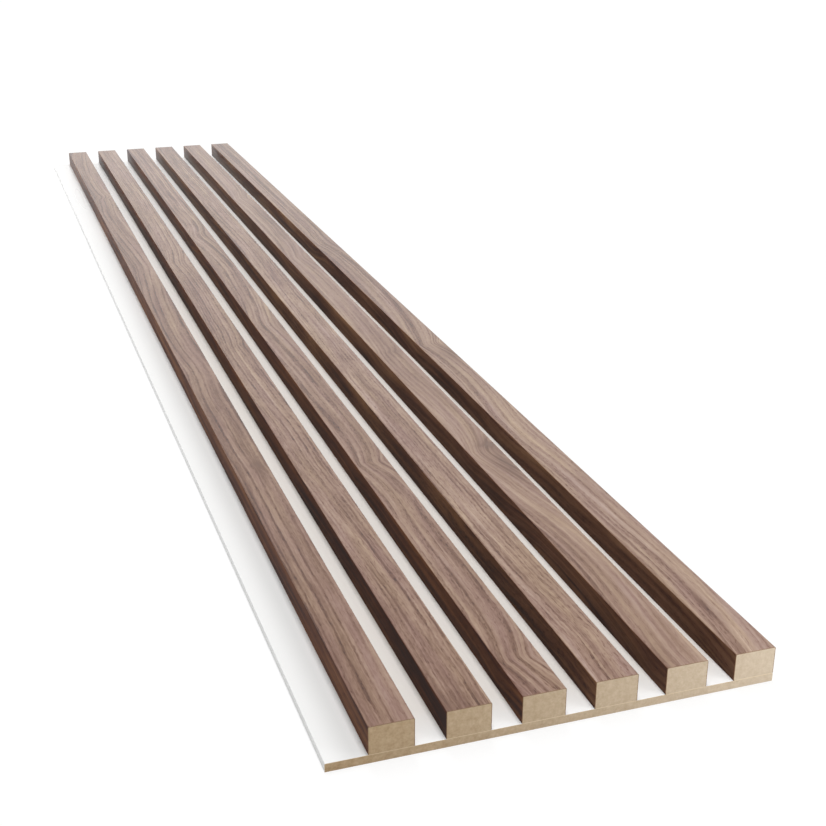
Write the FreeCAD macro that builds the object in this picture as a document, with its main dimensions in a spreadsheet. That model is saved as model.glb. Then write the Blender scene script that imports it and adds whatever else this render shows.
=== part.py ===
"""Slat wall panel: wood-effect slats glued in a row on a thin white-faced backing board.

The panel lies on its back. X runs across the slats, Y along them and Z out of the wall.
The origin is the middle of the back of the board. All sizes are in millimetres.
"""

import FreeCAD
import Part
import Sketcher

import math
import os

# Driving dimensions, one cell each

SIZES = {
    "panel_length": 1800.0,  # length of the board and of every slat
    "slat_count": 6,
    "slat_width": 30.0,  # over the wrap
    "slat_height": 20.0,  # over the wrap
    "slat_gap": 20.5,  # clear space between two slats
    "joint_margin": 27.5,  # bare strip of board left of the first slat
    "board_thickness": 6.0,  # over the face film
    "board_edge_radius": 0.4,  # eased long edges of the board, under the film
    "film_thickness": 0.3,
    "slat_edge_radius": 0.5,  # eased top edges of the slat's core, under the wrap
    "wrap_thickness": 0.4,
    "glue_thickness": 0.2,
    "glue_inset": 1.2,  # how far the glue stays back from each side of a slat
}

# Sizes that follow from the driving ones, as expressions

BOARD_WIDTH = (
    "(Sizes.joint_margin + Sizes.slat_count * Sizes.slat_width"
    " + (Sizes.slat_count - 1) * Sizes.slat_gap)"
)
BOARD_CORE_WIDTH = f"{BOARD_WIDTH} - 2 * Sizes.film_thickness"
BOARD_CORE_HEIGHT = "Sizes.board_thickness - Sizes.film_thickness"
SLAT_CORE_WIDTH = "Sizes.slat_width - 2 * Sizes.wrap_thickness"
SLAT_CORE_HEIGHT = "Sizes.slat_height - Sizes.wrap_thickness"
SLAT_FOOT = "Sizes.board_thickness + Sizes.glue_thickness"
GLUE_WIDTH = "Sizes.slat_width - 2 * Sizes.glue_inset"

# Names of a sketch's own axes and of the points of its lines and arcs

HORIZONTAL_AXIS = -1
VERTICAL_AXIS = -2
START, END, CENTRE = 1, 2, 3

doc = FreeCAD.newDocument("slat_panel")
sheet = doc.addObject("Spreadsheet::Sheet", "Sizes")
for row, (alias, number) in enumerate(SIZES.items(), start=1):
    sheet.set(f"A{row}", alias)
    sheet.set(f"B{row}", str(number))
    sheet.setAlias(f"B{row}", alias)
doc.recompute()


def point(x, z):
    """A point of a section sketch: x across the panel, z up."""
    return FreeCAD.Vector(x, z, 0)


def line(sketch, start, end):
    return sketch.addGeometry(Part.LineSegment(point(*start), point(*end)), False)


def arc(sketch, centre, radius, from_degrees):
    """A quarter circle, drawn anticlockwise."""
    circle = Part.Circle(point(*centre), FreeCAD.Vector(0, 0, 1), radius)
    first = math.radians(from_degrees)
    return sketch.addGeometry(Part.ArcOfCircle(circle, first, first + math.pi / 2), False)


def constrain(sketch, *terms):
    return sketch.addConstraint(Sketcher.Constraint(*terms))


def dimension(sketch, name, expression, kind, *geometry):
    """A dimension of the sketch that follows an expression over the sheet."""
    index = constrain(sketch, kind, *geometry, sketch.evalExpression(expression))
    sketch.renameConstraint(index, name)
    sketch.setExpression(f"Constraints.{name}", expression)


def new_body(label):
    """An empty body and the sketch of its section, seen from the near end."""
    body = doc.addObject("PartDesign::Body", label)
    body.Label = label
    section = body.newObject("Sketcher::SketchObject", f"{label}_section")
    plane = next(f for f in body.Origin.OriginFeatures if f.Role == "XZ_Plane")
    section.AttachmentSupport = (plane, [""])
    section.MapMode = "FlatFace"
    return body, section


def run_lengthways(body, section):
    """Pads a section evenly to both sides of the middle, over the panel's length."""
    pad = body.newObject("PartDesign::Pad", f"{body.Name}_run")
    pad.Profile = section
    pad.SideType = "Symmetric"
    pad.setExpression("Length", "Sizes.panel_length")
    body.Tip = pad


def strip(label, width, height):
    """A plain rectangular strip that stands on its own zero height."""
    body, section = new_body(label)
    half = section.evalExpression(width) / 2
    top = section.evalExpression(height)
    foot = line(section, (-half, 0), (half, 0))
    right = line(section, (half, 0), (half, top))
    head = line(section, (half, top), (-half, top))
    left = line(section, (-half, top), (-half, 0))
    outline = (foot, right, head, left)
    for this, following in zip(outline, outline[1:] + outline[:1]):
        constrain(section, "Coincident", this, END, following, START)
    constrain(section, "Horizontal", head)
    constrain(section, "Vertical", right)
    constrain(section, "PointOnObject", foot, START, HORIZONTAL_AXIS)
    constrain(section, "Symmetric", foot, START, foot, END, VERTICAL_AXIS)
    constrain(section, "Vertical", left)
    dimension(section, "width", width, "DistanceX", foot, START, foot, END)
    dimension(section, "height", height, "DistanceY", right, START, right, END)
    run_lengthways(body, section)
    return body


def core(label, width, height, radius):
    """A solid bar with a flat foot and its two long top edges eased."""
    body, section = new_body(label)
    half = section.evalExpression(width) / 2
    top = section.evalExpression(height)
    ease = section.evalExpression(radius)
    foot = line(section, (-half, 0), (half, 0))
    right = line(section, (half, 0), (half, top - ease))
    right_arc = arc(section, (half - ease, top - ease), ease, 0)
    head = line(section, (half - ease, top), (ease - half, top))
    left_arc = arc(section, (ease - half, top - ease), ease, 90)
    left = line(section, (-half, top - ease), (-half, 0))
    constrain(section, "Coincident", foot, END, right, START)
    constrain(section, "Coincident", left, END, foot, START)
    for this, following in ((right, right_arc), (right_arc, head), (head, left_arc), (left_arc, left)):
        constrain(section, "Tangent", this, END, following, START)
    constrain(section, "Vertical", right)
    constrain(section, "Vertical", left)
    constrain(section, "Equal", right_arc, left_arc)
    constrain(section, "PointOnObject", foot, START, HORIZONTAL_AXIS)
    constrain(section, "Symmetric", foot, START, foot, END, VERTICAL_AXIS)
    dimension(section, "width", width, "DistanceX", foot, START, foot, END)
    dimension(section, "height", height, "DistanceY", foot, END, head, START)
    dimension(section, "ease", radius, "Radius", right_arc)
    run_lengthways(body, section)
    return body


def skin(label, width, height, thickness, inner_radius):
    """A thin sheet folded over a core: across its top and down both sides to its foot."""
    body, section = new_body(label)
    half = section.evalExpression(width) / 2
    top = section.evalExpression(height)
    thick = section.evalExpression(thickness)
    ease = section.evalExpression(inner_radius)
    bend = ease + thick
    bend_x = half - bend
    bend_z = top - bend
    right_foot = line(section, (half - thick, 0), (half, 0))
    right_out = line(section, (half, 0), (half, bend_z))
    right_bend = arc(section, (bend_x, bend_z), bend, 0)
    head_out = line(section, (bend_x, top), (-bend_x, top))
    left_bend = arc(section, (-bend_x, bend_z), bend, 90)
    left_out = line(section, (-half, bend_z), (-half, 0))
    left_foot = line(section, (-half, 0), (thick - half, 0))
    left_in = line(section, (thick - half, 0), (thick - half, bend_z))
    left_ease = arc(section, (-bend_x, bend_z), ease, 90)
    head_in = line(section, (-bend_x, top - thick), (bend_x, top - thick))
    right_ease = arc(section, (bend_x, bend_z), ease, 0)
    right_in = line(section, (half - thick, bend_z), (half - thick, 0))
    outside = (right_out, right_bend, head_out, left_bend, left_out)
    for this, following in zip(outside, outside[1:]):
        constrain(section, "Tangent", this, END, following, START)
    # The inside is drawn the other way round, so its arcs are met at their ends
    constrain(section, "Tangent", left_in, END, left_ease, END)
    constrain(section, "Tangent", left_ease, START, head_in, START)
    constrain(section, "Tangent", head_in, END, right_ease, END)
    constrain(section, "Tangent", right_ease, START, right_in, START)
    constrain(section, "Coincident", right_in, END, right_foot, START)
    constrain(section, "Coincident", right_foot, END, right_out, START)
    constrain(section, "Coincident", left_out, END, left_foot, START)
    constrain(section, "Coincident", left_foot, END, left_in, START)
    constrain(section, "Coincident", right_bend, CENTRE, right_ease, CENTRE)
    constrain(section, "Coincident", left_bend, CENTRE, left_ease, CENTRE)
    constrain(section, "Vertical", right_out)
    constrain(section, "Vertical", left_out)
    constrain(section, "Horizontal", head_out)
    constrain(section, "Horizontal", right_foot)
    constrain(section, "PointOnObject", right_foot, START, HORIZONTAL_AXIS)
    constrain(section, "Symmetric", left_foot, START, right_foot, END, VERTICAL_AXIS)
    constrain(section, "Equal", right_ease, left_ease)
    dimension(section, "width", width, "DistanceX", left_foot, START, right_foot, END)
    dimension(section, "height", height, "DistanceY", right_out, START, head_out, START)
    dimension(section, "thickness", thickness, "DistanceX", right_foot, START, right_foot, END)
    dimension(section, "ease", inner_radius, "Radius", right_ease)
    run_lengthways(body, section)
    return body


def place(body, across, up):
    body.setExpression("Placement.Base.x", across)
    body.setExpression("Placement.Base.z", up)


def slat_centre(position):
    """Where the slat in this position stands across the panel, counted from 0 at the left."""
    return (
        f"Sizes.joint_margin + Sizes.slat_width / 2 - {BOARD_WIDTH} / 2"
        f" + {position} * (Sizes.slat_width + Sizes.slat_gap)"
    )


# Backing board: a thin sheet with a white film over its face and round its long edges

pieces = [
    core("backing_board", BOARD_CORE_WIDTH, BOARD_CORE_HEIGHT, "Sizes.board_edge_radius"),
    skin(
        "board_face_film",
        BOARD_WIDTH,
        "Sizes.board_thickness",
        "Sizes.film_thickness",
        "Sizes.board_edge_radius",
    ),
]

# Slats: each a core in its wood-effect wrap, held to the film by a line of glue

for position in range(int(sheet.slat_count)):
    number = position + 1
    across = slat_centre(position)

    glue = strip(f"glue_line_{number}", GLUE_WIDTH, "Sizes.glue_thickness")
    place(glue, across, "Sizes.board_thickness")

    slat = core(f"slat_core_{number}", SLAT_CORE_WIDTH, SLAT_CORE_HEIGHT, "Sizes.slat_edge_radius")
    place(slat, across, SLAT_FOOT)

    wrap = skin(
        f"slat_wrap_{number}",
        "Sizes.slat_width",
        "Sizes.slat_height",
        "Sizes.wrap_thickness",
        "Sizes.slat_edge_radius",
    )
    place(wrap, across, SLAT_FOOT)

    pieces += [glue, slat, wrap]

doc.recompute()

# Nothing is written unless every object came out sound

for item in doc.Objects:
    if {"Invalid", "Error"} & set(item.State):
        raise RuntimeError(f"{item.Label} failed: {item.State}")
for piece in pieces:
    if piece.Shape.isNull() or not piece.Shape.isValid():
        raise RuntimeError(f"{piece.Label} has no sound shape")

os.makedirs("parts", exist_ok=True)
for piece in pieces:
    piece.Shape.exportStep(f"parts/{piece.Label}.step")
    box = piece.Shape.BoundBox
    print(
        f"{piece.Label}: {box.XLength:.2f} x {box.YLength:.2f} x {box.ZLength:.2f} mm,"
        f" {piece.Shape.Volume / 1000:.1f} cm3, {len(piece.Shape.Solids)} solid"
    )
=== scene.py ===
# %% [markdown]
# # A slat wall panel, dressed in Blender
#
# The panel comes from CAD with every piece at its real size: a thin white-faced board, and slats of raw
# fibreboard in a walnut foil. Nothing here moves or resizes them. This lesson gives each piece its
# finish, then sets up the light, the floor and the camera.

import math

import bmesh
import bpy
from mathutils import Matrix, Vector


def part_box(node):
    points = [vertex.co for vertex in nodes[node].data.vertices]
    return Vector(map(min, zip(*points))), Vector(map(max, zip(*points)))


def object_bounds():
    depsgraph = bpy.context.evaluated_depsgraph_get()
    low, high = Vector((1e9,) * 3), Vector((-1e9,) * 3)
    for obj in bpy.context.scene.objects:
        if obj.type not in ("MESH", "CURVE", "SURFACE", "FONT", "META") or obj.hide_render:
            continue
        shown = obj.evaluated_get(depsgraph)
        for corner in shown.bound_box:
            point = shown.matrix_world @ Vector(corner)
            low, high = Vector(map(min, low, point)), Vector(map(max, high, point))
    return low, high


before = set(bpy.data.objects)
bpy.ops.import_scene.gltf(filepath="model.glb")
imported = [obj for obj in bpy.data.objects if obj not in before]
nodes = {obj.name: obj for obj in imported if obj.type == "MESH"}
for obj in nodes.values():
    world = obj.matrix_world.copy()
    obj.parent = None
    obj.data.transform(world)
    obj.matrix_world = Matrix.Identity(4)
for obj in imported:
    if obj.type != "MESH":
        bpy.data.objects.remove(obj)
cad_low, cad_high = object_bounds()

MM = 0.001
PER_METRE = 1 / MM
slat_numbers = [n for n in range(1, len(nodes) + 1) if f"slat_core_{n}" in nodes]
half_length = cad_high.y * PER_METRE
print(f"{len(nodes)} pieces, {len(slat_numbers)} slats, panel box {cad_high - cad_low} m")

# %% [markdown]
# ## Colours and nodes
#
# Finishes are chosen on screen, so their colours are written as sRGB hex values. Shaders work in linear
# light, so one function converts them. A second small function adds a node: it sets the node's options
# and fills its inputs, and an input that is another node is linked to that node's first output in use.
# That keeps each finish readable as a recipe. A maths node numbers its inputs from 0. A Mix node has a set
# of inputs for each kind of value, so those that are used here get names.

# %% Colour and node helpers
FLOAT_A, FLOAT_B = 2, 3  # the inputs that a Mix node blends when its data type is FLOAT
COLOUR_A, COLOUR_B = 6, 7  # the inputs that it blends when its data type is RGBA


def linear(hex_colour):
    """An sRGB hex value such as "8a6e5e" as linear red, green, blue and alpha."""
    parts = [int(hex_colour[i:i + 2], 16) / 255 for i in (0, 2, 4)]
    return [c / 12.92 if c <= 0.04045 else ((c + 0.055) / 1.055) ** 2.4 for c in parts] + [1.0]


def add(tree, kind, inputs=None, **settings):
    """Adds one node to a tree. inputs maps a socket's name or number to a value, a socket or a node."""
    node = tree.nodes.new(kind)
    for name, value in settings.items():
        setattr(node, name, value)
    for key, value in (inputs or {}).items():
        if isinstance(value, bpy.types.Node):
            value = next(socket for socket in value.outputs if socket.enabled)
        if isinstance(value, bpy.types.NodeSocket):
            tree.links.new(value, node.inputs[key])
        else:
            node.inputs[key].default_value = value
    return node


def new_material(name):
    """An empty material and its tree."""
    material = bpy.data.materials.new(name)
    material.use_nodes = True
    material.node_tree.nodes.clear()
    return material, material.node_tree


def set_stops(ramp, stops):
    """Gives a colour ramp its stops, as pairs of a position and a hex colour."""
    elements = ramp.color_ramp.elements
    while len(elements) < len(stops):
        elements.new(0.5)
    for element, (position, hex_colour) in zip(elements, stops):
        element.position = position
        element.color = linear(hex_colour)
    return ramp


def dress(material, *names):
    """Gives CAD pieces their finish."""
    for name in names:
        nodes[name].data.materials.clear()
        nodes[name].data.materials.append(material)


print("linear mid grey:", [round(c, 3) for c in linear("808080")])

# %% [markdown]
# ## Places and noise on the panel
#
# Patterns are laid out in millimetres on the panel itself, so their sizes can be read off a real one.
# Object coordinates are in metres, so they are scaled first. Wood and film both have marks that are drawn
# out along the panel, which is noise with one size across and another along.

# %% Place and noise helpers
END_DEPTH = 0.1  # millimetres from a sawn end within which a surface counts as sawn
NOISE_LOW, NOISE_MIDDLE, NOISE_HIGH = 0.3, 0.5, 0.7  # most values of a noise lie between the outer two


def panel_place(tree):
    """Where a point lies on the panel, in millimetres: as one vector, and as its X, Y and Z."""
    metres = add(tree, "ShaderNodeTexCoord").outputs["Object"]
    place = add(tree, "ShaderNodeVectorMath", {0: metres, "Scale": PER_METRE}, operation="SCALE")
    return place, add(tree, "ShaderNodeSeparateXYZ", {0: place}).outputs


def sawn_end(tree, along):
    """1 on the panel's two sawn ends and 0 elsewhere."""
    from_middle = add(tree, "ShaderNodeMath", {0: along}, operation="ABSOLUTE")
    return add(
        tree, "ShaderNodeMath", {0: from_middle, 1: half_length - END_DEPTH}, operation="GREATER_THAN"
    )


def long_noise(tree, place, size_across, size_along, detail):
    """Noise with one size across the panel and another along it, in millimetres."""
    scaled = add(
        tree, "ShaderNodeVectorMath", {0: place, 1: (1 / size_across, 1 / size_along, 1)},
        operation="MULTIPLY",
    )
    return add(tree, "ShaderNodeTexNoise", {"Vector": scaled, "Scale": 1.0, "Detail": detail})


print("sawn ends at", -half_length, "and", half_length, "mm")

# %% [markdown]
# ## Walnut foil
#
# Each slat is wrapped in a decor foil that looks like flat-sawn walnut: mauve brown and tan, with soft dark
# growth lines a few millimetres apart, fine fibres and short pores. A stock wave texture gives stripes that
# are too even. Instead the foil is laid flat in the shader: one coordinate runs across the top and on down
# both sides, so that the lines carry on round the edge as on a folded sheet. A curve over that coordinate
# has a peak at each growth line and a dip to lighter wood just past it. A second curve says how far the
# grain has drifted sideways at each place along the slat. Where the tree had a knot or a branch, a blunt
# cone pushes the lines aside, so that they swing round it as they do on a real board. Some cones also stain
# the wood, grey on the top and dark on a side.

# %% The growth lines of each slat
# From the slat's middle, across the laid-out foil: the place of each line in millimetres, how much it
# darkens the wood, and over how many millimetres the wood darkens towards it, before it turns light again
growth_lines = {
    1: [(-15.4, 0.22, 2.0), (-12.3, 0.18, 1.2), (-5.0, 0.32, 1.8), (1.8, 0.24, 1.4), (5.0, 0.06, 0.9),
        (10.8, 0.13, 2.2)],
    2: [(-12.0, 0.06, 1.0), (-8.3, 0.20, 1.3), (-5.3, 0.11, 1.1), (-1.8, 0.08, 1.2), (1.0, 0.15, 1.3),
        (4.0, 0.07, 1.1), (7.0, 0.28, 1.8), (10.0, 0.07, 1.1), (13.2, 0.27, 1.7), (16.5, 0.10, 1.2),
        (19.7, 0.30, 1.8), (22.8, 0.12, 1.2), (26.0, 0.30, 1.8)],
    3: [(-12.5, 0.14, 3.0), (-3.4, 0.32, 5.0), (3.0, 0.18, 2.2), (10.5, 0.36, 5.0), (14.5, 0.08, 2.5),
        (19.0, 0.26, 4.0), (25.0, 0.12, 2.5), (30.0, 0.24, 4.0)],
    4: [(-10.5, 0.20, 1.3), (-5.3, 0.28, 1.5), (-2.0, 0.07, 1.1), (1.5, 0.08, 1.1), (4.0, 0.10, 1.2),
        (7.5, 0.24, 1.5), (11.0, 0.20, 1.5), (14.0, 0.14, 1.2), (18.0, 0.20, 1.6)],
    5: [(-10.0, 0.24, 5.0), (-2.5, 0.18, 4.0), (4.0, 0.10, 2.5), (8.0, 0.12, 3.0), (13.0, 0.16, 3.0),
        (19.0, 0.17, 3.5), (25.5, 0.18, 4.0), (31.0, 0.12, 4.0)],
    6: [(-15.0, 0.10, 2.0), (-9.5, 0.34, 2.2), (-2.5, 0.30, 5.5), (5.0, 0.22, 2.2), (12.0, 0.20, 2.0),
        (16.5, 0.25, 2.0), (21.0, 0.25, 2.0), (25.0, 0.28, 2.0)],
}
FAR_LINE = (7.5, 0.30, 5.0)  # spacing, darkness and fade of the lines beyond those listed
FOIL_REACH = 48.0  # how far from the slat's middle the growth lines are drawn, in millimetres
PLAIN = 0.2  # the height of the lines' curve where the wood is plain
GLEAM = 0.25  # how light the wood turns just past a line, as a share of the line's darkness
# A line falls to light wood over this many millimetres, plus this share of its fade
FALL, FALL_SHARE = 0.7, 0.25
print("growth lines:", {n: len(lines) for n, lines in growth_lines.items()})

# %% The drift and the knots of each slat
# Sideways drift of the grain: a place along the slat and the drift there, both in millimetres
grain_drift = {
    1: [(-900, 0), (-850, -0.2), (-750, 1.4), (-650, 0.2), (-560, 1), (-510, 1), (-480, -0.8), (-400, -2.3),
        (-340, -3.4), (-300, -1.6), (-262, 0.2), (-220, -2.4), (-170, -5.6), (-110, -6.4), (-50, -5),
        (0, -3), (50, 1), (100, 4.5), (140, 7.5), (165, 6.8), (250, 2), (330, -2), (430, -5), (480, -2.5),
        (526, 1.4), (540, 6), (565, 3), (620, 0), (690, -0.5), (760, 1), (820, 5), (900, 14)],
    2: [(-900, 0), (-820, 0.4), (-760, 0.2), (-700, -2), (-600, -5), (-515, -8.2), (-430, -8.3),
        (-400, -10), (-350, -12.3), (-300, -13.5), (-250, -14.4), (-205, -14.5), (-180, -12.6),
        (-150, -11.5), (-80, -10.2), (0, -9), (60, -9.2), (110, -11), (142, -12.4), (165, -10), (200, -6),
        (280, -3.5), (400, -2), (520, -1.5), (620, -3), (720, -4), (800, -6), (900, -6.5)],
    3: [(-900, 1.5), (-860, 0), (-800, 0.3), (-700, 0), (-650, 0.5), (-605, 2.2), (-570, 1.6), (-531, -0.5),
        (-480, -1.6), (-450, -2.8), (-400, -4.7), (-350, -6.7), (-300, -7.5), (-250, -9), (-200, -10.7),
        (-165, -12.2), (-135, -14), (-115, -12.8), (-90, -10), (-60, -7), (-30, -4.7), (0, -3.2),
        (50, -0.7), (100, 1), (150, -0.8), (200, -4), (250, -10), (265, -11.3), (300, -8), (340, -5.5),
        (400, -7.5), (520, -9), (700, -8), (900, -9)],
    4: [(-900, 0), (-875, 1), (-850, 2.2), (-825, 1.2), (-800, 0), (-750, -2.6), (-700, -3.2), (-600, -3.5),
        (-400, -4.5), (-300, -4), (-200, -2), (-100, 0), (0, 1), (100, 3), (200, 6), (260, 5), (400, 1),
        (500, -1), (600, -4), (700, -5), (900, -3)],
    5: [(-900, -2.5), (-870, -1.2), (-850, 0), (-800, 4), (-760, 6.2), (-720, 5.4), (-680, 2), (-640, -3),
        (-615, -5.2), (-580, -6), (-520, -7), (-450, -10), (-400, -12.5), (-340, -17), (-300, -18),
        (-250, -14), (-200, -12), (-100, -9), (0, -8), (100, -6), (200, -4), (300, -4), (400, -5),
        (600, -5), (900, -7)],
    6: [(-900, -6), (-880, -3.2), (-850, 0), (-830, 1), (-800, 2), (-750, 1.6), (-700, -0.6), (-650, -1.6),
        (-600, -2.4), (-560, -4.5), (-520, -7.5), (-500, -8), (-480, -7.5), (-450, -5), (-400, -1),
        (-350, 0.8), (-300, 0), (-260, 0), (-230, 1), (-200, 3.5), (-170, 7), (-140, 9), (-100, 11),
        (-50, 12.5), (0, 13), (50, 14), (100, 13), (140, 9.5), (160, 6.5), (180, 3.5), (215, 3),
        (240, 4.5), (400, 4.5), (900, 4.5)],
}
DRIFT_SPAN = 60.0  # millimetres of drift from the bottom to the top of its curve
# Knots and bends: the place along and across, the reach along and across and the push to the left, in
# millimetres, how blunt the tip is, and how much it stains the wood
grain_figures = {
    1: [(-505, 7, 12, 9, 2.5, 0.2, 0.22), (530, 6, 16, 16, 4.0, 0.2, 0.08)],
    2: [(-193, 6, 16, 7, 2.0, 0.2, 0.12), (-893, -25, 17, 18, 0, 0.5, 0.5),
        (-730, -31, 95, 9, -11, 0.4, 0)],
    3: [(-857, 24, 22, 40, 17.8, 0.25, 0), (-531, 20, 22, 36, 14.8, 0.25, 0),
        (-150, 20, 40, 30, 3, 0.1, 0.05)],
    4: [(-905, -20, 12, 8, 0, 0.3, -0.25), (-680, -28, 60, 14, 5, 0.4, 0.15)],
    5: [(-552, 13, 44, 26, 26, 0.3, 0), (-540, 12, 16, 19, 17, 0.5, 0), (-570, 9, 22, 8, 0, 0.8, 0.42),
        (-527, 10, 6, 6, 0, 0.3, 0.75), (-268, 8, 7, 9, 4, 0.2, 0.16), (118, 10, 45, 30, 14, 0.3, 0),
        (240, 3, 26, 7, 3, 0.4, 0.14), (360, 5, 26, 7, 3, 0.4, 0.14), (310, 12, 30, 6, 0, 0.4, 0.16),
        (467, 16, 34, 30, 15, 0.2, 0), (-880, -28, 24, 14, 6, 0.3, 0.3), (-730, -31, 90, 9, -10, 0.4, 0)],
    6: [(-256, 16, 20, 22, 21, 0.3, 0), (-290, 8, 20, 8, 0, 0.6, 0.3), (-252, 11, 9, 4, 0, 0.5, -0.25),
        (150, 6, 50, 14, 0, 0.4, 0.12)],
}
print("knots and bends:", {n: len(figures) for n, figures in grain_figures.items()})


# %% Curves from those lists
def set_curve(node, points):
    """Draws a float curve through points, whose two axes run from 0 to 1."""
    curve = node.mapping.curves[0]
    first, *between, last = points
    curve.points[0].location = first
    curve.points[1].location = last
    for spot in between:
        curve.points.new(*spot)
    node.mapping.update()
    return node


def line_profile(number):
    """The curve of a slat's growth lines: a slow rise to each line, then a sharp fall to light wood."""
    gap, dark, fade = FAR_LINE
    lines = list(growth_lines[number])
    while lines[0][0] > 2 * gap - FOIL_REACH:
        lines.insert(0, (lines[0][0] - gap, dark, fade))
    while lines[-1][0] < FOIL_REACH - 2 * gap:
        lines.append((lines[-1][0] + gap, dark, fade))
    spots = [(-FOIL_REACH, PLAIN)]
    for place, dark, fade in lines:
        if place - fade > spots[-1][0]:
            spots.append((place - fade, PLAIN))
        spots.append((place, PLAIN + dark))
        spots.append((place + FALL + FALL_SHARE * fade, PLAIN - GLEAM * dark))
    spots.append((FOIL_REACH, PLAIN))
    return [(0.5 + place / FOIL_REACH / 2, height) for place, height in spots]


def drift_profile(number):
    """The curve of a slat's drift, from its near end to its far end."""
    return [(0.5 + at / half_length / 2, 0.5 + drift / DRIFT_SPAN) for at, drift in grain_drift[number]]


print("first slat's curve has", len(line_profile(1)), "points")

# %% [markdown]
# ### From the drawn grain to straight grain
#
# Every mark in wood follows its grain. So the shader first works out, for each point of the foil, where it
# would lie if the grain ran straight. It takes off the drift, then the push of each knot and bend, then a
# little wander that no list has to hold. Growth lines, fibres and pores are then drawn on straight grain.

# %% Straight grain
# Slow and quick wander of the lines: size across, size along and amount, in millimetres
wander_sizes = [(30, 220, 2.4), (8, 45, 1.8), (2.5, 14, 1.1), (1.2, 5, 0.9)]


def straight_grain(tree, number, flat, across, part_along):
    """How far across the straight grain a point lies, and how stained it is."""
    drift = add(tree, "ShaderNodeFloatCurve", {"Value": part_along})
    set_curve(drift, drift_profile(number))
    centred = add(tree, "ShaderNodeMath", {0: drift, 1: 0.5}, operation="SUBTRACT")
    straight = add(
        tree, "ShaderNodeMath", {0: centred, 1: -DRIFT_SPAN, 2: across}, operation="MULTIPLY_ADD"
    )
    stain = None
    for at_along, at_across, reach_along, reach_across, push, blunt, dark in grain_figures[number]:
        scaled = add(
            tree, "ShaderNodeVectorMath",
            {0: flat, 1: (0, 1 / reach_along, 0), 2: (0, -at_along / reach_along, blunt)},
            operation="MULTIPLY_ADD",
        )
        lengthwise = add(tree, "ShaderNodeVectorMath", {0: scaled}, operation="LENGTH")
        beside = add(tree, "ShaderNodeMath", {0: across, 1: at_across}, operation="SUBTRACT")
        beside = add(tree, "ShaderNodeMath", {0: beside}, operation="ABSOLUTE")
        away = add(
            tree, "ShaderNodeMath", {0: beside, 1: 1 / reach_across, 2: lengthwise},
            operation="MULTIPLY_ADD",
        )
        cone = add(tree, "ShaderNodeMath", {0: 1 / math.e, 1: away}, operation="POWER")
        to_full_height = math.exp(blunt)
        if push:
            straight = add(
                tree, "ShaderNodeMath", {0: cone, 1: push * to_full_height, 2: straight},
                operation="MULTIPLY_ADD",
            )
        if dark:
            stain = add(
                tree, "ShaderNodeMath", {0: cone, 1: dark * to_full_height, 2: stain or 0.0},
                operation="MULTIPLY_ADD",
            )
    for size_across, size_along, amount in wander_sizes:
        wander = long_noise(tree, flat, size_across, size_along, detail=1.0)
        shift = add(
            tree, "ShaderNodeMath", {0: wander, 1: amount, 2: -amount * NOISE_MIDDLE},
            operation="MULTIPLY_ADD",
        )
        straight = add(tree, "ShaderNodeMath", {0: straight, 1: shift}, operation="ADD")
    return straight, stain


print("wander over", [along for across, along, amount in wander_sizes], "mm")

# %% [markdown]
# ### The print's tone and colour
#
# The print is built as one tone from dark to light, and colour comes last. Layers of noise on the straight
# grain make bands, streaks and fibres, and growth lines, pores and stains darken them. Walnut drifts
# between mauve and tan, so the tone goes through two colour ramps that a slow noise mixes. The sides carry
# soft patches in their print, and painted shade darkens them, more towards the foot.

# %% Growth lines and pores
# Size of each layer of noise across and along the grain, in millimetres. Real pores are about a quarter
# of a millimetre wide, and are drawn wider here so that they show
grain_sizes = {
    "band": (7, 260), "patch": (11, 130), "mottle": (5, 32), "streak": (2.4, 120), "fleck": (1.3, 8),
    "fibre": (0.9, 40), "pore": (0.9, 6), "fade": (4, 45), "hue": (10, 140),
}
FAINT_LINE, STRONG_LINE = 0.25, 1.05  # how strong a growth line is where it fades and where it stands out
PORE_STARTS, PORE_FULL = 0.54, 0.68  # the noise's value where a pore starts and where it is full
PORES_IN_PLAIN, PORES_BY_LINE = 0.4, 2.0  # how thick pores are in plain wood, and how much more by a line


def lines_and_pores(tree, number, straight, layers):
    """The growth lines, stronger in some places than in others, and the pores, thickest along them."""
    part_across = add(
        tree, "ShaderNodeMapRange", {"Value": straight, "From Min": -FOIL_REACH, "From Max": FOIL_REACH}
    )
    height = set_curve(add(tree, "ShaderNodeFloatCurve", {"Value": part_across}), line_profile(number))
    line = add(tree, "ShaderNodeMath", {0: height, 1: PLAIN}, operation="SUBTRACT")
    strength = add(
        tree, "ShaderNodeMapRange",
        {"Value": layers["fade"], "From Min": NOISE_LOW, "From Max": NOISE_HIGH,
         "To Min": FAINT_LINE, "To Max": STRONG_LINE},
    )
    lines = add(tree, "ShaderNodeMath", {0: line, 1: strength}, operation="MULTIPLY")
    pores = add(
        tree, "ShaderNodeMapRange",
        {"Value": layers["pore"], "From Min": PORE_STARTS, "From Max": PORE_FULL},
    )
    thickness = add(
        tree, "ShaderNodeMath", {0: line, 1: PORES_BY_LINE, 2: PORES_IN_PLAIN}, operation="MULTIPLY_ADD"
    )
    return lines, add(tree, "ShaderNodeMath", {0: pores, 1: thickness}, operation="MULTIPLY")


print("layers of the grain:", ", ".join(grain_sizes))
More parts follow.
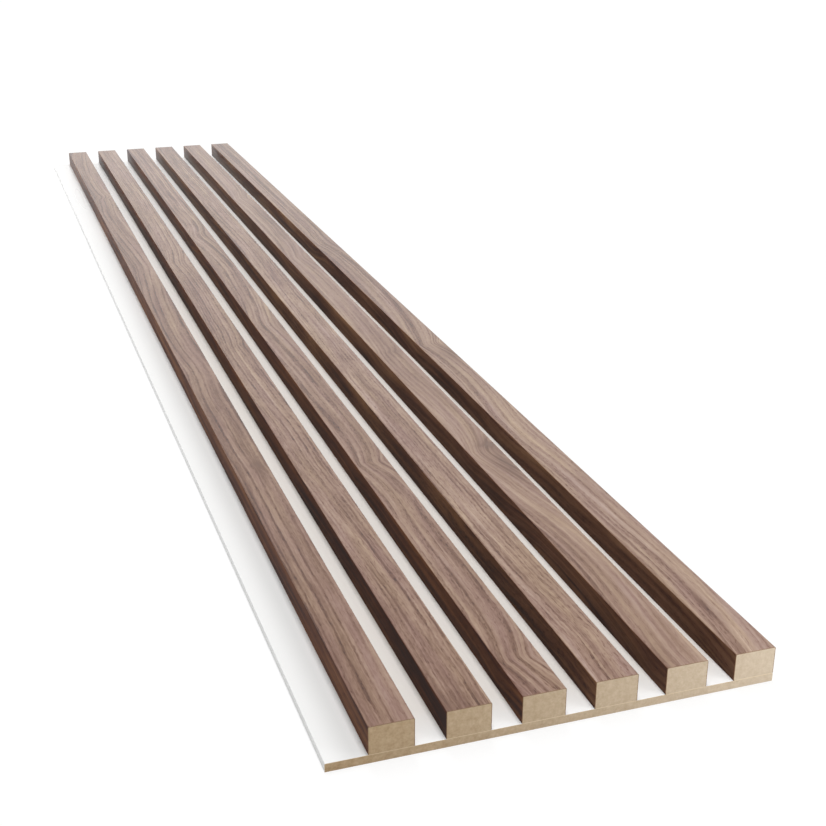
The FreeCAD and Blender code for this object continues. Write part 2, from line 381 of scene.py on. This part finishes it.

# %% Tone of the print
# How light the slat is over all, how much lighter its far end is than its middle, how much lighter it gets
# with each millimetre to the right, and how busy its fibres are
# The slats' tones rise from left to right partly as painted light, brighter towards the right
slat_tone = {1: 0.435, 2: 0.515, 3: 0.515, 4: 0.525, 5: 0.56, 6: 0.54}
slat_run = {1: 0.02, 2: 0.0, 3: -0.02, 4: -0.08, 5: -0.075, 6: -0.12}
slat_lean = {1: 0.006, 2: 0.003, 3: 0.0, 4: 0.0, 5: 0.0, 6: 0.0}
slat_fibre = {1: 0.8, 2: 1.1, 3: 0.9, 4: 1.2, 5: 0.6, 6: 0.8}
# How far each layer of noise and each kind of mark moves the tone. The busy layers and the pores also follow
# how busy the slat's fibres are
BAND_WEIGHT = 0.7
busy_weights = {"mottle": 0.3, "streak": 0.45, "fleck": 0.3, "fibre": 0.28}
PORE_WEIGHT, LINE_WEIGHT, STAIN_WEIGHT = -0.3, -1.0, -0.8
SIDE_PATCHES = 0.4  # the share of soft patches in the sides' print
PATCH_SWING = 1.0  # how far those patches go from the slat's own tone
SIDE_CONTRAST = 0.6  # how much more contrast the sides' print has than the top's


def printed_tone(tree, number, from_middle, part_along, on_side, layers, lines, pores, stain):
    """The print's tone, from 0 for dark to 1 for light."""
    busy = slat_fibre[number]
    lift = 2 * slat_run[number]
    tone = add(
        tree, "ShaderNodeMath", {0: from_middle, 1: slat_lean[number], 2: slat_tone[number]},
        operation="MULTIPLY_ADD",
    )
    tone = add(tree, "ShaderNodeMath", {0: part_along, 1: lift, 2: tone}, operation="MULTIPLY_ADD")
    tone = plain_tone = add(tree, "ShaderNodeMath", {0: tone, 1: -lift / 2}, operation="ADD")
    swings = [("band", BAND_WEIGHT)] + [(name, weight * busy) for name, weight in busy_weights.items()]
    for name, weight in swings:
        tone = add(tree, "ShaderNodeMath", {0: layers[name], 1: weight, 2: tone}, operation="MULTIPLY_ADD")
        tone = add(tree, "ShaderNodeMath", {0: tone, 1: -weight * NOISE_MIDDLE}, operation="ADD")
    for marks, weight in ((pores, PORE_WEIGHT * busy), (lines, LINE_WEIGHT)):
        tone = add(tree, "ShaderNodeMath", {0: marks, 1: weight, 2: tone}, operation="MULTIPLY_ADD")

    # Down the sides soft patches take the place of some of the streaks, and the print has more contrast
    patches = add(
        tree, "ShaderNodeMapRange",
        {"Value": layers["patch"], "To Min": slat_tone[number] - PATCH_SWING,
         "To Max": slat_tone[number] + PATCH_SWING},
    )
    share = add(tree, "ShaderNodeMath", {0: on_side, 1: SIDE_PATCHES}, operation="MULTIPLY")
    tone = add(tree, "ShaderNodeMix", {0: share, FLOAT_A: tone, FLOAT_B: patches}, data_type="FLOAT")
    contrast = add(tree, "ShaderNodeMath", {0: on_side, 1: SIDE_CONTRAST, 2: 1.0}, operation="MULTIPLY_ADD")
    figure = add(tree, "ShaderNodeMath", {0: tone, 1: plain_tone}, operation="SUBTRACT")
    tone = add(tree, "ShaderNodeMath", {0: figure, 1: contrast, 2: plain_tone}, operation="MULTIPLY_ADD")
    if stain:
        tone = add(tree, "ShaderNodeMath", {0: stain, 1: STAIN_WEIGHT, 2: tone}, operation="MULTIPLY_ADD")
    return tone


print("slats from light to dark:", sorted(slat_tone, key=slat_tone.get, reverse=True))

# %% Colour of the print
# From dark to light: mauve walnut, then tan walnut
walnut_shades = [
    ("482a21", "6a4739", "8b6b5e", "a3887c", "bca397"),
    ("4a2c1d", "6e4d38", "92755f", "ad9279", "c4ab91"),
]
STAINED_WOOD = "765a4b"
CARRIER_PAPER = "86694f"
STAIN_GREYING = 1.5  # how far a stain turns the top grey, as a share of its strength
# Painted shade on each slat's sides, as a tint near the top and near the foot: darker than the top,
# darkest towards the foot, and lightest on the first slat, whose side faces the open margin
slat_side_shade = {1: ("b38d68", "b38d68"), 2: ("a6784f", "89613d"), 3: ("af845c", "906b4c"),
             4: ("bb9e7b", "9a7e62"), 5: ("b99b80", "987e67"), 6: ("bfa58b", "9e856f")}


def printed_colour(tree, number, tone, hue, stain, on_side, shade_to_foot, cut):
    """The print's colour: walnut, greyed by stains, with painted shade down the sides, and bare paper where
    cut.
    """
    mauve, tan = (
        set_stops(
            add(tree, "ShaderNodeValToRGB", {0: tone}),
            [(step / (len(shades) - 1), shade) for step, shade in enumerate(shades)],
        )
        for shades in walnut_shades
    )
    towards_tan = add(
        tree, "ShaderNodeMapRange", {"Value": hue, "From Min": NOISE_LOW, "From Max": NOISE_HIGH}
    )
    colour = add(
        tree, "ShaderNodeMix", {0: towards_tan, COLOUR_A: mauve, COLOUR_B: tan}, data_type="RGBA"
    )
    if stain:
        on_top = add(
            tree, "ShaderNodeMath", {0: on_side, 1: -STAIN_GREYING, 2: STAIN_GREYING},
            operation="MULTIPLY_ADD",
        )
        greyed = add(tree, "ShaderNodeMath", {0: stain, 1: on_top}, operation="MULTIPLY", use_clamp=True)
        colour = add(
            tree, "ShaderNodeMix", {0: greyed, COLOUR_A: colour, COLOUR_B: linear(STAINED_WOOD)},
            data_type="RGBA",
        )
    # Painted shade: the sides are tinted darker, more towards the foot
    top_shade, foot_shade = (linear(tint) for tint in slat_side_shade[number])
    side_shade = add(
        tree, "ShaderNodeMix", {0: shade_to_foot, COLOUR_A: top_shade, COLOUR_B: foot_shade}, data_type="RGBA"
    )
    colour = add(
        tree, "ShaderNodeMix", {0: on_side, COLOUR_A: colour, COLOUR_B: side_shade},
        data_type="RGBA", blend_type="MULTIPLY",
    )
    return add(
        tree, "ShaderNodeMix", {0: cut, COLOUR_A: colour, COLOUR_B: linear(CARRIER_PAPER)}, data_type="RGBA"
    )


print("shades of walnut:", walnut_shades)

# %% [markdown]
# ### The foil itself
#
# Decor foil is printed paper under a clear lacquer. The lacquer is satin: it gives soft reflections, a
# faint sheen, and pores that are pressed in a little. On the sides it is duller, and its gloss rises
# towards the far end. Each slat gets its own foil, with a seed that moves its noise, so no two slats are
# alike.

# %% The walnut foil
SEED_STEP = 17.3  # how far the noise of one slat lies from that of the next
SIDE_STARTS, SIDE_FULL = 0.05, 0.5  # millimetres below the top where the sides' print starts and is full
LACQUER_ROUGH, FIBRE_ROUGH = 0.13, 0.12  # roughness of the lacquer, and what the fibres add to it
GLOSS_FROM = 0.45  # the part of the length past which the sides get glossier
SIDE_ROUGH_NEAR, SIDE_ROUGH_FAR = 0.68, 0.24  # roughness that the sides add, up to there and at the far end
PORE_DEPTH = 0.7  # how deep a pore is pressed, beside the height of a fibre
RELIEF = 0.1 * MM


def walnut_foil(number):
    """Decor foil with a printed walnut figure, satin on top, wrapped round one slat."""
    material, tree = new_material(f"walnut_decor_foil_{number}")
    low, high = (corner * PER_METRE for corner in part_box(f"slat_wrap_{number}"))
    axes = panel_place(tree)[1]
    along = axes["Y"]
    part_along = add(
        tree, "ShaderNodeMapRange", {"Value": along, "From Min": -half_length, "From Max": half_length}
    )

    # The foil laid flat: across the top, then on down the nearer side
    from_middle = add(
        tree, "ShaderNodeMath", {0: axes["X"], 1: (low.x + high.x) / 2}, operation="SUBTRACT"
    )
    which_side = add(tree, "ShaderNodeMath", {0: from_middle}, operation="SIGN")
    drop = add(tree, "ShaderNodeMath", {0: high.z, 1: axes["Z"]}, operation="SUBTRACT")
    across = add(
        tree, "ShaderNodeMath", {0: which_side, 1: drop, 2: from_middle}, operation="MULTIPLY_ADD"
    )
    seed = SEED_STEP * number
    flat = add(tree, "ShaderNodeCombineXYZ", {0: across, 1: along, 2: seed})
    on_side = add(
        tree, "ShaderNodeMapRange", {"Value": drop, "From Min": SIDE_STARTS, "From Max": SIDE_FULL}
    )
    # How far down a side a point lies, for the sides' painted shade
    shade_to_foot = add(
        tree, "ShaderNodeMapRange", {"Value": drop, "From Min": 0.0, "From Max": high.z - low.z}
    )

    # The print
    straight, stain = straight_grain(tree, number, flat, across, part_along)
    grain = add(tree, "ShaderNodeCombineXYZ", {0: straight, 1: along, 2: seed})
    layers = {name: long_noise(tree, grain, *size, detail=2.0) for name, size in grain_sizes.items()}
    lines, pores = lines_and_pores(tree, number, straight, layers)
    tone = printed_tone(tree, number, from_middle, part_along, on_side, layers, lines, pores, stain)
    cut = sawn_end(tree, along)
    colour = printed_colour(tree, number, tone, layers["hue"], stain, on_side, shade_to_foot, cut)

    # The lacquer
    rough = add(
        tree, "ShaderNodeMath", {0: layers["fibre"], 1: FIBRE_ROUGH, 2: LACQUER_ROUGH},
        operation="MULTIPLY_ADD",
    )
    side_rough = add(
        tree, "ShaderNodeMapRange",
        {"Value": part_along, "From Min": GLOSS_FROM, "To Min": SIDE_ROUGH_NEAR, "To Max": SIDE_ROUGH_FAR},
    )
    roughness = add(
        tree, "ShaderNodeMath", {0: on_side, 1: side_rough, 2: rough}, operation="MULTIPLY_ADD"
    )
    relief = add(
        tree, "ShaderNodeMath", {0: pores, 1: -PORE_DEPTH, 2: layers["fibre"]}, operation="MULTIPLY_ADD"
    )
    bump = add(tree, "ShaderNodeBump", {"Height": relief, "Strength": 0.2, "Distance": RELIEF})
    surface = add(
        tree, "ShaderNodeBsdfPrincipled",
        {"Base Color": colour, "Roughness": roughness, "Normal": bump, "IOR": 1.4,
         "Sheen Weight": 0.04, "Sheen Roughness": 0.15},
    )
    add(tree, "ShaderNodeOutputMaterial", {"Surface": surface})
    return material


for number in slat_numbers:
    foil = walnut_foil(number)
    dress(foil, f"slat_wrap_{number}")
    print(foil.name, "has", len(foil.node_tree.nodes), "nodes")

# %% [markdown]
# ## Raw fibreboard
#
# The slats' cores and the board are sawn fibreboard: fine wood fibres pressed with resin. A sawn edge is
# matt and tan, with darker and lighter specks of fibre a millimetre or two across and soft clouds of a few
# millimetres. Two noise textures of those sizes make it, and a light bump gives the saw's fuzz. The colour
# goes from tan at the left to paler at the right, as painted light that brightens the right-hand ends.

# %% Sawn fibreboard
SPECK_SHARE, CLOUD_SHARE = 0.42, 0.58  # how much of the mottle each noise makes
MOTTLE_DARK, MOTTLE_LIGHT = 0.28, 0.72  # the mottle's values that get the dark and the light colour
SAWN_ROUGH, MOTTLE_ROUGH = 0.75, 0.2  # roughness of a sawn face, and what its mottle adds to it
FIBRE_FUZZ = 0.1 * MM


def pressed_fibre(name, left, right, speck_size, cloud_size):
    """A matt mottle of specks and clouds, from one pair of colours at the left to another at the right:
    painted light.
    """
    material, tree = new_material(name)
    place, axes = panel_place(tree)
    specks, clouds = (
        add(tree, "ShaderNodeTexNoise", {"Vector": place, "Scale": 1 / size, "Detail": 2.0})
        for size in (speck_size, cloud_size)
    )
    mottle = add(tree, "ShaderNodeMath", {0: specks, 1: SPECK_SHARE}, operation="MULTIPLY")
    mottle = add(tree, "ShaderNodeMath", {0: clouds, 1: CLOUD_SHARE, 2: mottle}, operation="MULTIPLY_ADD")
    left_tones, right_tones = (
        set_stops(
            add(tree, "ShaderNodeValToRGB", {0: mottle}), [(MOTTLE_DARK, dark), (MOTTLE_LIGHT, light)]
        )
        for dark, light in (left, right)
    )
    # Painted light: the colour turns lighter towards the right
    painted_light_rightwards = add(
        tree, "ShaderNodeMapRange",
        {"Value": axes["X"], "From Min": cad_low.x * PER_METRE, "From Max": cad_high.x * PER_METRE},
    )
    colour = add(
        tree, "ShaderNodeMix", {0: painted_light_rightwards, COLOUR_A: left_tones, COLOUR_B: right_tones}, data_type="RGBA"
    )
    bump = add(tree, "ShaderNodeBump", {"Height": specks, "Strength": 0.12, "Distance": FIBRE_FUZZ})
    roughness = add(
        tree, "ShaderNodeMath", {0: mottle, 1: MOTTLE_ROUGH, 2: SAWN_ROUGH}, operation="MULTIPLY_ADD"
    )
    surface = add(
        tree, "ShaderNodeBsdfPrincipled",
        {"Base Color": colour, "Roughness": roughness, "Normal": bump, "IOR": 1.5},
    )
    add(tree, "ShaderNodeOutputMaterial", {"Surface": surface})
    return material


fibreboard = pressed_fibre(
    "sawn_fibreboard", ("9f835e", "c4ab8a"), ("bba991", "cebfab"), speck_size=1.5, cloud_size=4.0
)
dress(fibreboard, "backing_board", *[f"slat_core_{n}" for n in slat_numbers])
print(fibreboard.name, "on", len(slat_numbers) + 1, "pieces")

# %% [markdown]
# ## White film and glue
#
# The board's face is a smooth white melamine film. It is satin, so it needs little more than a good white,
# a faint orange-peel bump and a haze along the board that changes its gloss a little. Between the slats it
# is painted a touch warmer, as painted light bounced from the walnut, and painted clean white at its two
# ends as painted light. The bare margin has a painted shadow that greys it softly towards the first slat,
# and a painted shade round its own edge. The glue line under each slat is set hot-melt glue, a cloudy
# cream, and it takes the same recipe of specks and clouds as the fibreboard.

# %% Whites of the film
# The grooves' white is warmer as painted light bounced from the walnut
margin_white, groove_bounce_white = ("f2f2f1", "f3f3f2"), ("f5f0ea", "f6f1eb")  # the two ends of the haze
# Painted shadow grey for the margin, painted shade grey for its left edge, painted light white for the
# grooves' ends, and the colour of the film's own core
MARGIN_SHADOW_GREY, EDGE_SHADE_GREY, PAINTED_LIGHT_WHITE, FILM_CORE = "e3e3e2", "e6e6e5", "fefefd", "cfbb9c"
# In millimetres from the first slat: where the margin's painted shadow starts, where it is darkest, and
# where it thins out again at the slat's foot
GREY_STARTS, GREY_FULL, FOOT_STARTS, FOOT_ENDS = 26, 7, 8, 2
GREY_AT_FOOT = 0.3  # the share of grey that is left at the foot
GREY_FAR, GREY_NEAR = 0.9, -0.4  # the grey fades in between these parts of the half length
# The film's left edge is greyed as painted shade
EDGE_INNER, EDGE_OUTER = 0.6, 0.1  # millimetres from the film's left edge over which it greys
# Painted light: clean white over the grooves' near end
NEAR_PAINTED_WHITE = 35  # millimetres of clean white at the near end


def film_colour(tree, axes, haze):
    """The film's white, with painted shade on the margin, painted light between the slats, and its core at
    sawn ends.
    """
    margin, between = (
        set_stops(add(tree, "ShaderNodeValToRGB", {0: haze}), [(NOISE_LOW, dark), (NOISE_HIGH, light)])
        for dark, light in (margin_white, groove_bounce_white)
    )
    first_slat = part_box("slat_wrap_1")[0].x * PER_METRE
    left_edge = cad_low.x * PER_METRE
    beside = add(
        tree, "ShaderNodeMapRange",
        {"Value": axes["X"], "From Min": first_slat - GREY_STARTS, "From Max": first_slat - GREY_FULL},
        interpolation_type="SMOOTHSTEP",
    )
    nearness = add(
        tree, "ShaderNodeMapRange",
        {"Value": axes["Y"], "From Min": GREY_FAR * half_length, "From Max": GREY_NEAR * half_length},
        interpolation_type="SMOOTHSTEP",
    )
    at_foot = add(
        tree, "ShaderNodeMapRange",
        {"Value": axes["X"], "From Min": first_slat - FOOT_STARTS, "From Max": first_slat - FOOT_ENDS,
         "To Min": 1.0, "To Max": GREY_AT_FOOT},
    )
    margin_shadow = add(tree, "ShaderNodeMath", {0: beside, 1: nearness}, operation="MULTIPLY")
    margin_shadow = add(tree, "ShaderNodeMath", {0: margin_shadow, 1: at_foot}, operation="MULTIPLY")
    edge_shade = add(
        tree, "ShaderNodeMapRange",
        {"Value": axes["X"], "From Min": left_edge + EDGE_INNER, "From Max": left_edge + EDGE_OUTER},
    )
    # Painted shadow beside the first slat, fading towards the far end, and painted shade round the left edge
    for share, tint in ((margin_shadow, MARGIN_SHADOW_GREY), (edge_shade, EDGE_SHADE_GREY)):
        margin = add(
            tree, "ShaderNodeMix", {0: share, COLOUR_A: margin, COLOUR_B: linear(tint)}, data_type="RGBA"
        )
    # Painted light: the grooves' film turns clean white at the near end and towards the far end
    for start, end in ((NEAR_PAINTED_WHITE - half_length, -half_length), (0, half_length)):
        painted_groove_light = add(tree, "ShaderNodeMapRange", {"Value": axes["Y"], "From Min": start, "From Max": end})
        between = add(
            tree, "ShaderNodeMix", {0: painted_groove_light, COLOUR_A: between, COLOUR_B: linear(PAINTED_LIGHT_WHITE)},
            data_type="RGBA",
        )
    past_margin = add(tree, "ShaderNodeMath", {0: axes["X"], 1: first_slat}, operation="GREATER_THAN")
    colour = add(
        tree, "ShaderNodeMix", {0: past_margin, COLOUR_A: margin, COLOUR_B: between}, data_type="RGBA"
    )
    return add(
        tree, "ShaderNodeMix",
        {0: sawn_end(tree, axes["Y"]), COLOUR_A: colour, COLOUR_B: linear(FILM_CORE)}, data_type="RGBA",
    )


print("film whites:", margin_white, groove_bounce_white)

# %% White film and glue
PEEL_SIZE = 1.6  # millimetres from one bump of the orange peel to the next
HAZE_ACROSS, HAZE_ALONG = 40, 500  # millimetres
FILM_ROUGH, HAZE_ROUGH = 0.26, 0.04  # roughness of the film, and what its haze adds to it
PEEL_HEIGHT = 0.005 * MM


def white_film():
    """Satin white melamine film with a faint orange peel."""
    material, tree = new_material("satin_white_melamine")
    place, axes = panel_place(tree)
    peel = add(tree, "ShaderNodeTexNoise", {"Vector": place, "Scale": 1 / PEEL_SIZE, "Detail": 1.0})
    haze = long_noise(tree, place, HAZE_ACROSS, HAZE_ALONG, detail=0.0)
    roughness = add(
        tree, "ShaderNodeMath", {0: haze, 1: HAZE_ROUGH, 2: FILM_ROUGH}, operation="MULTIPLY_ADD"
    )
    bump = add(tree, "ShaderNodeBump", {"Height": peel, "Strength": 0.03, "Distance": PEEL_HEIGHT})
    surface = add(
        tree, "ShaderNodeBsdfPrincipled",
        {"Base Color": film_colour(tree, axes, haze), "Roughness": roughness, "Normal": bump, "IOR": 1.5,
         "Specular IOR Level": 0.25},
    )
    add(tree, "ShaderNodeOutputMaterial", {"Surface": surface})
    return material


film_finish = white_film()
dress(film_finish, "board_face_film")
glue_finish = pressed_fibre(
    "set_hot_melt_glue", ("c8b18e", "d8c6a8"), ("d8c9b2", "e6dac6"), speck_size=2.0, cloud_size=12.0
)
dress(glue_finish, *[f"glue_line_{n}" for n in slat_numbers])
print(film_finish.name, glue_finish.name)

# %% [markdown]
# ## Floor, light and world
#
# The panel lies on a plain pale floor that runs out to white. The floor is lit as usual, so it keeps the
# panel's soft shadow, and camera rays see a little glow added to it so that the lit part comes out white.
# Reflections see the same white, and not the lamps, so the satin foil has no bright patches. A long softbox
# hangs over the panel. A smaller one stands far off to the left and lights the far ends, and a low one
# stands in front, to the right, so that the sawn ends brighten towards it.

# %% Floor
WHITE_LEVEL = 1.03  # just past white, so that the backdrop has no grey left in it
FLOOR_GLOW = 0.79  # added where the floor is seen, so that its lit part comes out white
FLOOR_REACH = 15.0  # metres from the middle of the floor to its edges
LIT_ACROSS, LIT_ALONG = 0.9, 1.7  # metres: the lit patch of floor
RUN_OUT_STARTS, RUN_OUT_ENDS = 0.5, 1.3  # how far out, as shares of that patch, the floor turns white
FLOOR_GAP = 0.2 * MM  # the floor lies this far under the panel


def seen_rays(tree):
    """1 for rays that see a surface, straight or by reflection or glass, and 0 for those that light."""
    rays = add(tree, "ShaderNodeLightPath").outputs
    seen = add(
        tree, "ShaderNodeMath", {0: rays["Is Camera Ray"], 1: rays["Is Glossy Ray"]}, operation="ADD"
    )
    return add(
        tree, "ShaderNodeMath", {0: seen, 1: rays["Is Transmission Ray"]}, operation="ADD", use_clamp=True
    )


def pale_floor():
    """Painted studio floor, lit near the panel and running out to white."""
    material, tree = new_material("pale_studio_floor")
    spread = add(
        tree, "ShaderNodeVectorMath",
        {0: add(tree, "ShaderNodeTexCoord").outputs["Object"], 1: (1 / LIT_ACROSS, 1 / LIT_ALONG, 0)},
        operation="MULTIPLY",
    )
    away = add(tree, "ShaderNodeVectorMath", {0: spread}, operation="LENGTH")
    run_out = add(
        tree, "ShaderNodeMapRange", {"Value": away, "From Min": RUN_OUT_STARTS, "From Max": RUN_OUT_ENDS},
        interpolation_type="SMOOTHSTEP",
    )
    lit = add(tree, "ShaderNodeBsdfDiffuse", {"Color": linear("dededd")})
    faint = add(tree, "ShaderNodeBsdfDiffuse", {"Color": linear("828282")})
    glow = add(tree, "ShaderNodeEmission", {"Strength": FLOOR_GLOW})
    near = add(tree, "ShaderNodeAddShader", {0: faint, 1: glow})
    white = add(tree, "ShaderNodeEmission", {"Strength": WHITE_LEVEL})
    shown = add(tree, "ShaderNodeMixShader", {0: run_out, 1: near, 2: white})
    both = add(tree, "ShaderNodeMixShader", {0: seen_rays(tree), 1: lit, 2: shown})
    add(tree, "ShaderNodeOutputMaterial", {"Surface": both})
    return material


mesh = bpy.data.meshes.new("floor")
shape = bmesh.new()
bmesh.ops.create_grid(shape, x_segments=1, y_segments=1, size=FLOOR_REACH)
shape.to_mesh(mesh)
shape.free()
floor = bpy.data.objects.new("floor", mesh)
floor.location.z = cad_low.z - FLOOR_GAP
mesh.materials.append(pale_floor())
bpy.context.scene.collection.objects.link(floor)
print("floor at", round(floor.location.z * PER_METRE, 2), "mm")


# %% Softboxes
def softbox(name, place, target, width, depth, watts):
    """A rectangular studio lamp that looks at a target, with its places and sizes in metres."""
    lamp = bpy.data.lights.new(name, "AREA")
    lamp.shape = "RECTANGLE"
    lamp.size = width
    lamp.size_y = depth
    lamp.energy = watts
    holder = bpy.data.objects.new(name, lamp)
    aim = (Vector(target) - Vector(place)).to_track_quat("-Z", "Y").to_matrix().to_4x4()
    holder.matrix_world = Matrix.Translation(place) @ aim
    holder.visible_camera = False
    holder.visible_glossy = False
    bpy.context.scene.collection.objects.link(holder)


softbox("overhead_softbox", (0.0, 0.1, 2.0), target=(0.0, 0.1, 0.0), width=0.6, depth=4.4, watts=42.0)
softbox("far_left_softbox", (-1.2, 1.4, 0.45), target=(-0.13, 0.6, 0.0), width=0.5, depth=0.5, watts=7.0)
softbox(
    "low_front_softbox", (0.4, -1.22, 0.09), target=(0.1, -0.9, 0.02), width=0.2, depth=0.12, watts=1.12
)

# %% World
AMBIENT_LEVEL = 0.44  # the light that the white studio throws on the panel

world = bpy.data.worlds.new("white_studio")
bpy.context.scene.world = world
world.use_nodes = True
world.node_tree.nodes.clear()
level = add(
    world.node_tree, "ShaderNodeMapRange",
    {"Value": seen_rays(world.node_tree), "To Min": AMBIENT_LEVEL, "To Max": WHITE_LEVEL},
)
sky = add(world.node_tree, "ShaderNodeBackground", {"Color": linear("ffffff"), "Strength": level})
add(world.node_tree, "ShaderNodeOutputWorld", {"Surface": sky})
print(world.name, "has", len(world.node_tree.nodes), "nodes")

# %% [markdown]
# ## Camera
#
# The view is from low down, past the panel's near left corner. The place and the angles were fitted to the
# corners of the slats and the board, with the lens's axis in the middle of the picture, so no shift is
# needed.

# %% Camera
PICTURE_PIXELS = 826
FOCAL_PIXELS = 1364.1
SENSOR_WIDTH = 36.0  # millimetres
CAMERA_PLACE = Vector((-323.0, -1559.3, 511.1)) * MM
CAMERA_YAW = math.radians(-18.755)
CAMERA_PITCH_DOWN = math.radians(22.23)
CAMERA_ROLL = math.radians(0.094)

lens = bpy.data.cameras.new("camera")
lens.sensor_width = SENSOR_WIDTH
lens.lens = FOCAL_PIXELS / PICTURE_PIXELS * SENSOR_WIDTH
camera = bpy.data.objects.new("camera", lens)
camera.matrix_world = (
    Matrix.Translation(CAMERA_PLACE)
    @ Matrix.Rotation(CAMERA_YAW, 4, "Z")
    @ Matrix.Rotation(math.pi / 2 - CAMERA_PITCH_DOWN, 4, "X")
    @ Matrix.Rotation(CAMERA_ROLL, 4, "Z")
)
bpy.context.scene.collection.objects.link(camera)
bpy.context.scene.camera = camera
bpy.context.scene.view_settings.view_transform = "Standard"
print("lens", round(lens.lens, 2), "mm")
